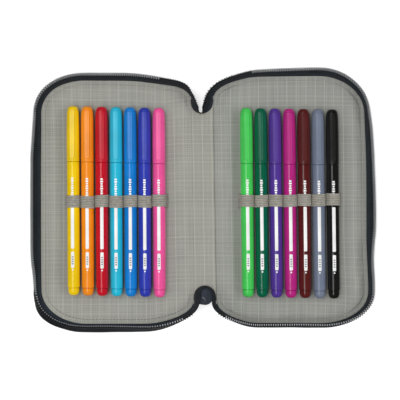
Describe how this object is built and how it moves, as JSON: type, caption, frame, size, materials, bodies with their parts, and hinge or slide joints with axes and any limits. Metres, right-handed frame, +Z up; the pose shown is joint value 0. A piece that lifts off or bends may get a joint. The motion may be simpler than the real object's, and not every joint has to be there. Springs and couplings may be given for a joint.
{
  "type": "pencil case",
  "caption": "Padded book-style pencil case lying open, with a zip round three sides and felt-tip pens held by an elastic strip on each leaf.",
  "frame": {"origin": "on the table, under the middle of the open case", "axes": "+X to the right leaf, +Y along the spine towards the pen caps, +Z up out of the open leaves"},
  "size_m": [0.2602, 0.1952, 0.0159],
  "materials": {
    "outer_fabric": "plain dark navy-grey woven polyester",
    "lining_fabric": "warm grey lining with a fine lighter check",
    "board": "plain stiffening board, hidden",
    "padding": "thin wadding, hidden",
    "zip_tape": "woven dark navy-grey tape",
    "zip_coil": "satin nylon coil",
    "elastic": "ribbed warm grey elastic",
    "slider_metal": "satin dark paint",
    "pen_yellow": "glossy opaque moulded plastic",
    "pen_orange": "glossy opaque moulded plastic",
    "pen_red": "glossy opaque moulded plastic",
    "pen_turquoise": "glossy opaque moulded plastic",
    "pen_sky_blue": "glossy opaque moulded plastic",
    "pen_dark_blue": "glossy opaque moulded plastic",
    "pen_pink": "glossy opaque moulded plastic",
    "pen_light_green": "glossy opaque moulded plastic",
    "pen_dark_green": "glossy opaque moulded plastic",
    "pen_violet": "glossy opaque moulded plastic",
    "pen_magenta": "glossy opaque moulded plastic",
    "pen_brown": "glossy opaque moulded plastic",
    "pen_grey": "glossy opaque moulded plastic",
    "pen_black": "glossy opaque moulded plastic"
  },
  "bodies": {
    "spine": {"spine_cover": "outer_fabric", "spine_board": "board", "spine_lining": "lining_fabric", "zip_end_gusset": "outer_fabric", "left_tape_end": "zip_tape", "right_tape_end": "zip_tape", "zip_end_tab": "outer_fabric", "zip_slider": "slider_metal"},
    "left_leaf": {"left_cover": "outer_fabric", "left_board": "board", "left_padding": "padding", "left_lining": "lining_fabric", "left_gusset": "outer_fabric", "left_zip_tape": "zip_tape", "left_zip_coil": "zip_coil", "left_elastic": "elastic"},
    "right_leaf": {"right_cover": "outer_fabric", "right_board": "board", "right_padding": "padding", "right_lining": "lining_fabric", "right_gusset": "outer_fabric", "right_zip_tape": "zip_tape", "right_zip_coil": "zip_coil", "right_elastic": "elastic"},
    "pull": {"slider_pull": "slider_metal"},
    "pen_yellow": {"pen_yellow_barrel": "pen_yellow"},
    "cap_yellow": {"pen_yellow_cap": "pen_yellow"},
    "pen_orange": {"pen_orange_barrel": "pen_orange"},
    "cap_orange": {"pen_orange_cap": "pen_orange"},
    "pen_red": {"pen_red_barrel": "pen_red"},
    "cap_red": {"pen_red_cap": "pen_red"},
    "pen_turquoise": {"pen_turquoise_barrel": "pen_turquoise"},
    "cap_turquoise": {"pen_turquoise_cap": "pen_turquoise"},
    "pen_sky_blue": {"pen_sky_blue_barrel": "pen_sky_blue"},
    "cap_sky_blue": {"pen_sky_blue_cap": "pen_sky_blue"},
    "pen_dark_blue": {"pen_dark_blue_barrel": "pen_dark_blue"},
    "cap_dark_blue": {"pen_dark_blue_cap": "pen_dark_blue"},
    "pen_pink": {"pen_pink_barrel": "pen_pink"},
    "cap_pink": {"pen_pink_cap": "pen_pink"},
    "pen_light_green": {"pen_light_green_barrel": "pen_light_green"},
    "cap_light_green": {"pen_light_green_cap": "pen_light_green"},
    "pen_dark_green": {"pen_dark_green_barrel": "pen_dark_green"},
    "cap_dark_green": {"pen_dark_green_cap": "pen_dark_green"},
    "pen_violet": {"pen_violet_barrel": "pen_violet"},
    "cap_violet": {"pen_violet_cap": "pen_violet"},
    "pen_magenta": {"pen_magenta_barrel": "pen_magenta"},
    "cap_magenta": {"pen_magenta_cap": "pen_magenta"},
    "pen_brown": {"pen_brown_barrel": "pen_brown"},
    "cap_brown": {"pen_brown_cap": "pen_brown"},
    "pen_grey": {"pen_grey_barrel": "pen_grey"},
    "cap_grey": {"pen_grey_cap": "pen_grey"},
    "pen_black": {"pen_black_barrel": "pen_black"},
    "cap_black": {"pen_black_cap": "pen_black"}
  },
  "joints": [
    {"name": "left_leaf_fold", "type": "hinge", "parent": "spine", "child": "left_leaf", "pos_m": [-0.01075, 0, 0.005], "axis": [0, 1, 0], "range_deg": [0, 90]},
    {"name": "right_leaf_fold", "type": "hinge", "parent": "spine", "child": "right_leaf", "pos_m": [0.01075, 0, 0.005], "axis": [0, -1, 0], "range_deg": [0, 90]},
    {"name": "pull_swing", "type": "hinge", "parent": "spine", "child": "pull", "pos_m": [0, -0.0744, 0.0015], "axis": [-1, 0, 0], "range_deg": [0, 180]},
    {"name": "pen_yellow_slide", "type": "slide", "parent": "left_leaf", "child": "pen_yellow", "axis": [0.0052, -1, 0], "range_m": [-0.018, 0.014]},
    {"name": "cap_yellow_pull", "type": "slide", "parent": "pen_yellow", "child": "cap_yellow", "axis": [-0.0052, 1, 0], "range_m": [0, 0.019]},
    {"name": "pen_orange_slide", "type": "slide", "parent": "left_leaf", "child": "pen_orange", "axis": [0.0052, -1, 0], "range_m": [-0.018, 0.014]},
    {"name": "cap_orange_pull", "type": "slide", "parent": "pen_orange", "child": "cap_orange", "axis": [-0.0052, 1, 0], "range_m": [0, 0.019]},
    {"name": "pen_red_slide", "type": "slide", "parent": "left_leaf", "child": "pen_red", "axis": [0.0052, -1, 0], "range_m": [-0.018, 0.014]},
    {"name": "cap_red_pull", "type": "slide", "parent": "pen_red", "child": "cap_red", "axis": [-0.0052, 1, 0], "range_m": [0, 0.019]},
    {"name": "pen_turquoise_slide", "type": "slide", "parent": "left_leaf", "child": "pen_turquoise", "axis": [0.0052, -1, 0], "range_m": [-0.018, 0.014]},
    {"name": "cap_turquoise_pull", "type": "slide", "parent": "pen_turquoise", "child": "cap_turquoise", "axis": [-0.0052, 1, 0], "range_m": [0, 0.019]},
    {"name": "pen_sky_blue_slide", "type": "slide", "parent": "left_leaf", "child": "pen_sky_blue", "axis": [0.0052, -1, 0], "range_m": [-0.018, 0.014]},
    {"name": "cap_sky_blue_pull", "type": "slide", "parent": "pen_sky_blue", "child": "cap_sky_blue", "axis": [-0.0052, 1, 0], "range_m": [0, 0.019]},
    {"name": "pen_dark_blue_slide", "type": "slide", "parent": "left_leaf", "child": "pen_dark_blue", "axis": [0.0052, -1, 0], "range_m": [-0.018, 0.014]},
    {"name": "cap_dark_blue_pull", "type": "slide", "parent": "pen_dark_blue", "child": "cap_dark_blue", "axis": [-0.0052, 1, 0], "range_m": [0, 0.019]},
    {"name": "pen_pink_slide", "type": "slide", "parent": "left_leaf", "child": "pen_pink", "axis": [0.0052, -1, 0], "range_m": [-0.018, 0.014]},
    {"name": "cap_pink_pull", "type": "slide", "parent": "pen_pink", "child": "cap_pink", "axis": [-0.0052, 1, 0], "range_m": [0, 0.019]},
    {"name": "pen_light_green_slide", "type": "slide", "parent": "right_leaf", "child": "pen_light_green", "axis": [0.0113, -0.9999, 0], "range_m": [-0.018, 0.014]},
    {"name": "cap_light_green_pull", "type": "slide", "parent": "pen_light_green", "child": "cap_light_green", "axis": [-0.0113, 0.9999, 0], "range_m": [0, 0.019]},
    {"name": "pen_dark_green_slide", "type": "slide", "parent": "right_leaf", "child": "pen_dark_green", "axis": [0.0113, -0.9999, 0], "range_m": [-0.018, 0.014]},
    {"name": "cap_dark_green_pull", "type": "slide", "parent": "pen_dark_green", "child": "cap_dark_green", "axis": [-0.0113, 0.9999, 0], "range_m": [0, 0.019]},
    {"name": "pen_violet_slide", "type": "slide", "parent": "right_leaf", "child": "pen_violet", "axis": [0.0113, -0.9999, 0], "range_m": [-0.018, 0.014]},
    {"name": "cap_violet_pull", "type": "slide", "parent": "pen_violet", "child": "cap_violet", "axis": [-0.0113, 0.9999, 0], "range_m": [0, 0.019]},
    {"name": "pen_magenta_slide", "type": "slide", "parent": "right_leaf", "child": "pen_magenta", "axis": [0.0113, -0.9999, 0], "range_m": [-0.018, 0.014]},
    {"name": "cap_magenta_pull", "type": "slide", "parent": "pen_magenta", "child": "cap_magenta", "axis": [-0.0113, 0.9999, 0], "range_m": [0, 0.019]},
    {"name": "pen_brown_slide", "type": "slide", "parent": "right_leaf", "child": "pen_brown", "axis": [0.0113, -0.9999, 0], "range_m": [-0.018, 0.014]},
    {"name": "cap_brown_pull", "type": "slide", "parent": "pen_brown", "child": "cap_brown", "axis": [-0.0113, 0.9999, 0], "range_m": [0, 0.019]},
    {"name": "pen_grey_slide", "type": "slide", "parent": "right_leaf", "child": "pen_grey", "axis": [0.0113, -0.9999, 0], "range_m": [-0.018, 0.014]},
    {"name": "cap_grey_pull", "type": "slide", "parent": "pen_grey", "child": "cap_grey", "axis": [-0.0113, 0.9999, 0], "range_m": [0, 0.019]},
    {"name": "pen_black_slide", "type": "slide", "parent": "right_leaf", "child": "pen_black", "axis": [0.0113, -0.9999, 0], "range_m": [-0.018, 0.014]},
    {"name": "cap_black_pull", "type": "slide", "parent": "pen_black", "child": "cap_black", "axis": [-0.0113, 0.9999, 0], "range_m": [0, 0.019]}
  ]
}
